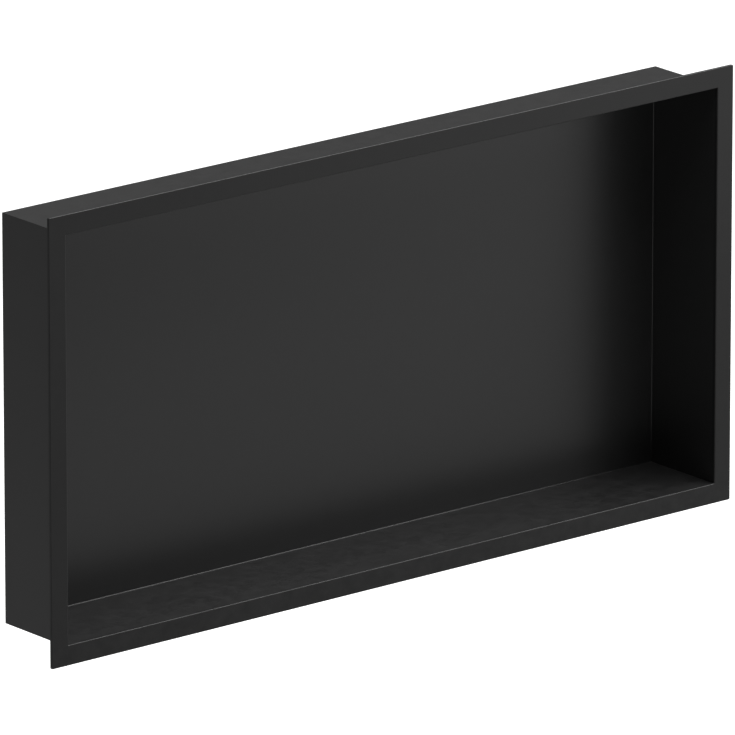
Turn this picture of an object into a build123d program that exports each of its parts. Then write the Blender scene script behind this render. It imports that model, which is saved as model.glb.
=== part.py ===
from build123d import *
import os

# Recessed shower niche: a shallow tray of folded sheet that sits in a hole in the wall, open at the front,
# with a flat flange round its mouth that covers the cut edge of the tiles.
# Sizes are in millimetres. The front faces -Y, +X is to the right and +Z is up.
# The origin is the middle of the flange's rear face, which lies on the finished wall.

# Mouth and flange
opening_width = 600.0
opening_height = 300.0
flange_width = 15.0  # from the edge of the mouth to the outer edge
flange_thickness = 2.0
flange_corner_radius = 1.0  # the four corners, seen from the front
flange_edge_radius = 0.4  # the outer edge of the front face, eased to the touch
mouth_edge_radius = 0.8  # where the flange turns into the tray

# Tray behind the wall's face
built_in_depth = 70.0  # from the wall's face to the rear of the back panel
sheet_thickness = 1.2
fold_inside_radius = 0.5  # between the back panel and the four walls

# Sizes that follow
flange_outer_width = opening_width + 2 * flange_width
flange_outer_height = opening_height + 2 * flange_width
tray_width = opening_width + 2 * sheet_thickness
tray_height = opening_height + 2 * sheet_thickness
fold_outside_radius = fold_inside_radius + sheet_thickness

# Depths along Y, counted from the wall's face into the wall
flange_front = -flange_thickness
flange_rear = 0.0
panel_front = built_in_depth - sheet_thickness

# Drawing plane on the wall's face, with its normal into the wall
wall_face = Plane(origin=(0, 0, 0), x_dir=(1, 0, 0), z_dir=(0, 1, 0))


def along_depth(outline, start, end):
    """Extrude an outline from one depth to another."""
    return extrude(wall_face.offset(start) * outline, end - start)


def fold_back_edges(block, radius):
    """Round the edges of a block's rearmost face, as the folds of the sheet leave them."""
    rear = block.faces().sort_by(Axis.Y)[-1]
    return fillet(rear.edges(), radius)


def flange_plate():
    """The flat plate of the flange, before the mouth is cut, with its front outer edge eased."""
    outline = RectangleRounded(flange_outer_width, flange_outer_height, flange_corner_radius)
    plate = along_depth(outline, flange_front, flange_rear)
    front = plate.faces().sort_by(Axis.Y)[0]
    return fillet(front.edges(), flange_edge_radius)


def tray_outside():
    """The outer faces of the four walls and the back panel."""
    block = along_depth(Rectangle(tray_width, tray_height), flange_rear, built_in_depth)
    return fold_back_edges(block, fold_outside_radius)


def tray_inside():
    """The room inside the tray, from the mouth to the back panel."""
    block = along_depth(Rectangle(opening_width, opening_height), flange_front, panel_front)
    return fold_back_edges(block, fold_inside_radius)


def niche_body():
    """The whole niche: flange and tray in one, hollowed out, with the edge of its mouth rounded."""
    body = flange_plate() + tray_outside() - tray_inside()
    front = body.faces().sort_by(Axis.Y)[0]
    mouth = front.inner_wires()[0]
    return fillet(mouth.edges(), mouth_edge_radius)


os.makedirs("parts", exist_ok=True)
export_step(niche_body(), "parts/niche_body.step")
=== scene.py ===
# Recessed shower niche in satin black, set up for a studio picture.
# The CAD tray keeps its shape. Here it gets its powder coat, a pale floor, soft lamps and the camera.

import math

import bpy
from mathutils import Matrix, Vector


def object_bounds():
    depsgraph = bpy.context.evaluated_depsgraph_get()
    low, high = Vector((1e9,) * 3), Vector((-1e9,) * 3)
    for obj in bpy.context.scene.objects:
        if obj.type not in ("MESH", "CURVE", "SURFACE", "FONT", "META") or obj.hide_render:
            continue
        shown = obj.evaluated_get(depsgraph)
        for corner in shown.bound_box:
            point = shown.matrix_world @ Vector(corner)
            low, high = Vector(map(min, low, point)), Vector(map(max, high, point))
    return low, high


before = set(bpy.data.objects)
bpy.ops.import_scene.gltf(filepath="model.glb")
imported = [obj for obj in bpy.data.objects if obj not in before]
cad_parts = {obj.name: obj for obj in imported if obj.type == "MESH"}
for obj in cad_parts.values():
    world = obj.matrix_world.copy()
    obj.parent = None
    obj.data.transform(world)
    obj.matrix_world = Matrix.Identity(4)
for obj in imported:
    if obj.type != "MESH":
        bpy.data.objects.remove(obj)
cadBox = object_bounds()
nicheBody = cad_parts["niche_body"]
bpy.ops.object.select_all(action="DESELECT")  # the load leaves the tray selected
print("frame loaded:", ", ".join(sorted(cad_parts)))

mm = 0.001


# undoes the sRGB curve, as Blender's sockets want linear colours
def hexToLinear(hexColour):
    channels = [int(hexColour[i:i + 2], 16) / 255 for i in (1, 3, 5)]
    linear = [c / 12.92 if c <= 0.04045 else ((c + 0.055) / 1.055) ** 2.4 for c in channels]
    return (*linear, 1.0)


# adds one node: settings go to its own properties or to its sockets, links bring other nodes' outputs in
def addNode(tree, kind, settings=None, links=None):
    node = tree.nodes.new(kind)
    for name, value in (settings or {}).items():
        if isinstance(name, int) or name in node.inputs:  # a number picks a socket that shares its name
            node.inputs[name].default_value = value
        else:
            setattr(node, name, value)
    for name, output in (links or {}).items():
        tree.links.new(output, node.inputs[name])
    return node


def newMaterial(name):
    material = bpy.data.materials.new(name)
    material.use_nodes = True
    material.node_tree.nodes.clear()
    return material


# direction from the niche outwards: azimuth 0 is straight in front, 90 is to the right
def direction(azimuth, elevation):
    a, e = math.radians(azimuth), math.radians(elevation)
    return Vector((math.sin(a) * math.cos(e), -math.cos(a) * math.cos(e), math.sin(e)))


# Satin black powder coat on stainless sheet: sprayed dry, then melted in an oven.
# To the eye it is near black and satin, with soft blurred reflections. The melt leaves a faint
# orange peel, and the coat is a little uneven in colour and gloss. On the niche's floor the colour patches
# are stronger: painted shading of the peel where light crosses the floor at a slant.
powderCoat = {
    "colour": "#1d1d1d",
    "darkPatch": "#181818",
    "lightPatch": "#222222",
    "patchWidth": 9.0 * mm,
    "patchNoise": {"Detail": 5.0, "Roughness": 0.7},
    "patchEnds": (0.35, 0.65),  # where the noise reaches the dark and the light colour
    "nicheFloorShadeTop": -149.5 * mm,  # from the niche's floor down the patches show in full, as painted shading of the orange peel under slanting light
    "nicheFloorShadeFade": 0.5 * mm,
    "evenness": 0.8,  # how far they are levelled out above that
    "ior": 1.5,
    "specularLevel": 0.5,
    "flangePaintedShade": 0.44,  # painted shade: the flange's reflections are dimmed to this share, so it gives back less light than the tray does
    "flangeRear": 0.0 * mm,  # depth where the flange ends and the tray begins
    "flangeShadeFade": 1.5 * mm,
    "roughness": 0.35,
    "roughnessSpread": 0.014,  # either side of that, in the same patches
    "roughnessEnds": (0.3, 0.7),  # where the noise reaches the glossiest and the dullest
    "peelWidth": 3.0 * mm,  # orange peel, crest to crest
    "peelHeight": 0.012 * mm,
    "peelNoise": {"Detail": 1.0, "Roughness": 0.4},
    "grainWidth": 0.9 * mm,  # the real grain is near 0.3 mm: drawn coarser, so that it shows at all
    "grainHeight": 0.002 * mm,
    "grainNoise": {"Detail": 2.0, "Roughness": 0.6},
}


def makePowderCoat(coat):
    material = newMaterial("satinBlackPowderCoat")
    tree = material.node_tree
    place = addNode(tree, "ShaderNodeTexCoord").outputs["Object"]
    position = addNode(tree, "ShaderNodeSeparateXYZ", links={"Vector": place})

    # patches of colour: in full on the niche's floor, as painted shading of the orange peel, fading to one
    # even black above it
    patches = addNode(tree, "ShaderNodeTexNoise",
                      {"Scale": 1 / coat["patchWidth"], **coat["patchNoise"]}, {"Vector": place})
    mottle = addNode(tree, "ShaderNodeValToRGB", links={"Fac": patches.outputs["Fac"]})
    darkest, lightest = mottle.color_ramp.elements
    darkest.position, lightest.position = coat["patchEnds"]
    darkest.color = hexToLinear(coat["darkPatch"])
    lightest.color = hexToLinear(coat["lightPatch"])
    evenness = addNode(tree, "ShaderNodeMapRange",
                       {"From Min": coat["nicheFloorShadeTop"], "From Max": coat["nicheFloorShadeTop"] + coat["nicheFloorShadeFade"],
                        "To Min": 0.0, "To Max": coat["evenness"]},
                       {"Value": position.outputs["Z"]})
    colour = addNode(tree, "ShaderNodeMixRGB", {"Color2": hexToLinear(coat["colour"])},
                     {"Fac": evenness.outputs["Result"], "Color1": mottle.outputs["Color"]})

    # the same patches in the gloss
    glossiest, dullest = coat["roughnessEnds"]
    roughness = addNode(tree, "ShaderNodeMapRange",
                        {"From Min": glossiest, "From Max": dullest,
                         "To Min": coat["roughness"] - coat["roughnessSpread"],
                         "To Max": coat["roughness"] + coat["roughnessSpread"]},
                        {"Value": patches.outputs["Fac"]})

    # orange peel, with the powder's grain on it
    peel = addNode(tree, "ShaderNodeTexNoise",
                   {"Scale": 1 / coat["peelWidth"], **coat["peelNoise"]}, {"Vector": place})
    peelBump = addNode(tree, "ShaderNodeBump", {"Distance": coat["peelHeight"]},
                       {"Height": peel.outputs["Fac"]})
    grain = addNode(tree, "ShaderNodeTexNoise",
                    {"Scale": 1 / coat["grainWidth"], **coat["grainNoise"]}, {"Vector": place})
    grainBump = addNode(tree, "ShaderNodeBump", {"Distance": coat["grainHeight"]},
                        {"Height": grain.outputs["Fac"], "Normal": peelBump.outputs["Normal"]})

    # painted shade: dimmer reflections in front of the wall's face than behind it
    flangeShade = addNode(tree, "ShaderNodeMapRange",
                    {"From Min": coat["flangeRear"], "From Max": coat["flangeRear"] + coat["flangeShadeFade"],
                     "To Min": coat["flangePaintedShade"], "To Max": 1.0},
                    {"Value": position.outputs["Y"]})

    shader = addNode(tree, "ShaderNodeBsdfPrincipled",
                     {"IOR": coat["ior"], "Specular IOR Level": coat["specularLevel"]},
                     {"Base Color": colour.outputs["Color"], "Roughness": roughness.outputs["Result"],
                      "Normal": grainBump.outputs["Normal"], "Specular Tint": flangeShade.outputs["Result"]})
    addNode(tree, "ShaderNodeOutputMaterial", links={"Surface": shader.outputs["BSDF"]})
    return material


nicheBody.material_slots[0].material = makePowderCoat(powderCoat)
print("niche coated:", nicheBody.material_slots[0].material.name)


# Matt floor paint, well below the niche, so that its shadow falls outside the picture.
# It has no gloss and no grain: pale in the picture, and grey to the lamps, which bounce little light off it.
floor = {
    "height": -0.6,
    "size": 80.0,
    "colour": "#7c7c7c",
    "roughness": 0.9,
    "specularLevel": 0.0,
    "glowColour": "#ffffff",
    "glow": 0.1,  # an even light from below, which the back panel mirrors
    "paintedLightPools": {  # painted pools of light: the floor itself glows in each, brightest in the middle of the pool
        "frontLeft": {"x": -1.2, "y": -1.2, "radius": 1.5, "glow": 0.95},
        "right": {"x": 2.6, "y": -1.2, "radius": 2.0, "glow": 0.56},
        "rearLeft": {"x": -1.5, "y": 1.8, "radius": 2.0, "glow": 0.065},
    },
    "cameraGlow": 1.1,  # brings the floor up to white in the picture, and leaves the niche's light alone
}


def makeFloor(piece):
    bpy.ops.mesh.primitive_plane_add(size=piece["size"], location=(0, 0, 0))
    plane = bpy.context.active_object
    plane.name = "paleFloor"
    bpy.ops.object.mode_set(mode="EDIT")
    bpy.ops.transform.translate(value=(0, 0, piece["height"]))
    bpy.ops.object.mode_set(mode="OBJECT")

    material = newMaterial("mattFloorPaint")
    tree = material.node_tree
    place = addNode(tree, "ShaderNodeTexCoord").outputs["Object"]
    light = None
    for pool in piece["paintedLightPools"].values():
        # each painted pool of light glows most at its middle and fades to nothing at its radius
        middle = (pool["x"], pool["y"], piece["height"])
        away = addNode(tree, "ShaderNodeVectorMath", {"operation": "DISTANCE", 1: middle}, {0: place})
        spread = addNode(tree, "ShaderNodeMapRange",
                         {"interpolation_type": "SMOOTHSTEP", "From Max": pool["radius"],
                          "To Min": pool["glow"], "To Max": 0.0}, {"Value": away.outputs["Value"]})
        total = addNode(tree, "ShaderNodeMath", {0: piece["glow"]}, {1: spread.outputs["Result"]})
        if light:  # the first pool is added to the even glow, each further one to the sum so far
            tree.links.new(light, total.inputs[0])
        light = total.outputs["Value"]
    glow = addNode(tree, "ShaderNodeMapRange", {"To Max": piece["cameraGlow"]},
                   {"Value": addNode(tree, "ShaderNodeLightPath").outputs["Is Camera Ray"], "To Min": light})
    shader = addNode(tree, "ShaderNodeBsdfPrincipled",
                     {"Base Color": hexToLinear(piece["colour"]), "Roughness": piece["roughness"],
                      "Specular IOR Level": piece["specularLevel"],
                      "Emission Color": hexToLinear(piece["glowColour"])},
                     {"Emission Strength": glow.outputs["Result"]})
    addNode(tree, "ShaderNodeOutputMaterial", links={"Surface": shader.outputs["BSDF"]})
    plane.data.materials.append(material)


makeFloor(floor)
print("floor laid, with pools of light:", len(floor["paintedLightPools"]))


# Soft lamps: where each one hangs, how large it is in metres and how bright its face is.
# They are large and dim, so that no side of the niche mirrors a glaring lamp.
lamps = {
    "overheadSoftbox": {"azimuth": 0, "elevation": 90, "distance": 3.0,
                        "width": 4.0, "height": 4.0, "glow": 2.5},
    "keySoftbox": {"azimuth": 71.6, "elevation": 62.2, "distance": 3.39,
                   "width": 4.0, "height": 4.0, "glow": 5.9},
    "rightSoftbox": {"azimuth": 90, "elevation": 35, "distance": 3.5,
                     "width": 4.0, "height": 2.5, "glow": 1.54},
    "rearSoftbox": {"azimuth": 180, "elevation": 35, "distance": 3.5,
                    "width": 4.0, "height": 2.5, "glow": 0.2},
    "frontStrip": {"azimuth": 45, "elevation": 4, "distance": 0.9,
                   "width": 0.7, "height": 0.4, "glow": 0.66},
}
room = {"colour": "#ffffff", "glow": 0.0, "cameraGlow": 1.1}  # dark to the niche, white in the picture


def hangLamps(lampList):
    for name, lamp in lampList.items():
        data = bpy.data.lights.new(name, "AREA")
        data.shape = "RECTANGLE"
        data.size = lamp["width"]
        data.size_y = lamp["height"]
        data.energy = lamp["glow"] * math.pi * lamp["width"] * lamp["height"]  # watts off the whole face
        softbox = bpy.data.objects.new(name, data)
        towards = direction(lamp["azimuth"], lamp["elevation"])
        softbox.location = towards * lamp["distance"]
        softbox.rotation_euler = towards.to_track_quat("Z", "Y").to_euler()
        bpy.context.scene.collection.objects.link(softbox)


def lightRoom(walls):
    world = bpy.data.worlds.new("studioRoom")
    bpy.context.scene.world = world
    world.use_nodes = True
    tree = world.node_tree
    tree.nodes.clear()
    strength = addNode(tree, "ShaderNodeMapRange", {"To Min": walls["glow"], "To Max": walls["cameraGlow"]},
                       {"Value": addNode(tree, "ShaderNodeLightPath").outputs["Is Camera Ray"]})
    background = addNode(tree, "ShaderNodeBackground", {"Color": hexToLinear(walls["colour"])},
                         {"Strength": strength.outputs["Result"]})
    addNode(tree, "ShaderNodeOutputWorld", links={"Surface": background.outputs["Background"]})


hangLamps(lamps)
lightRoom(room)
bpy.context.scene.view_settings.view_transform = "Standard"  # no film curve, so the black keeps its level
print("lamps hung:", len(lamps))


# Long lens from the front left and a little above, as in the photograph
camera = {
    "azimuth": -39.41,
    "elevation": 16.85,
    "distance": 9.333,
    "lens": 640.7,
    "clipEnd": 200.0,  # past the far edge of the floor
    "aimRight": -0.02175,  # the aim point, from the middle of the flange's front face
    "aimUp": -0.0035,
}


def setCamera(shot):
    back = direction(shot["azimuth"], shot["elevation"])
    right = direction(shot["azimuth"] + 90, 0)
    up = back.cross(right)
    flangeFront = Vector((0, cadBox[0][1], 0))
    aim = flangeFront + right * shot["aimRight"] + up * shot["aimUp"]
    data = bpy.data.cameras.new("productCamera")
    data.lens = shot["lens"]
    data.clip_end = shot["clipEnd"]
    productCamera = bpy.data.objects.new("productCamera", data)
    productCamera.location = aim + back * shot["distance"]
    productCamera.rotation_euler = back.to_track_quat("Z", "Y").to_euler()
    bpy.context.scene.collection.objects.link(productCamera)
    bpy.context.scene.camera = productCamera


setCamera(camera)
print("camera set")
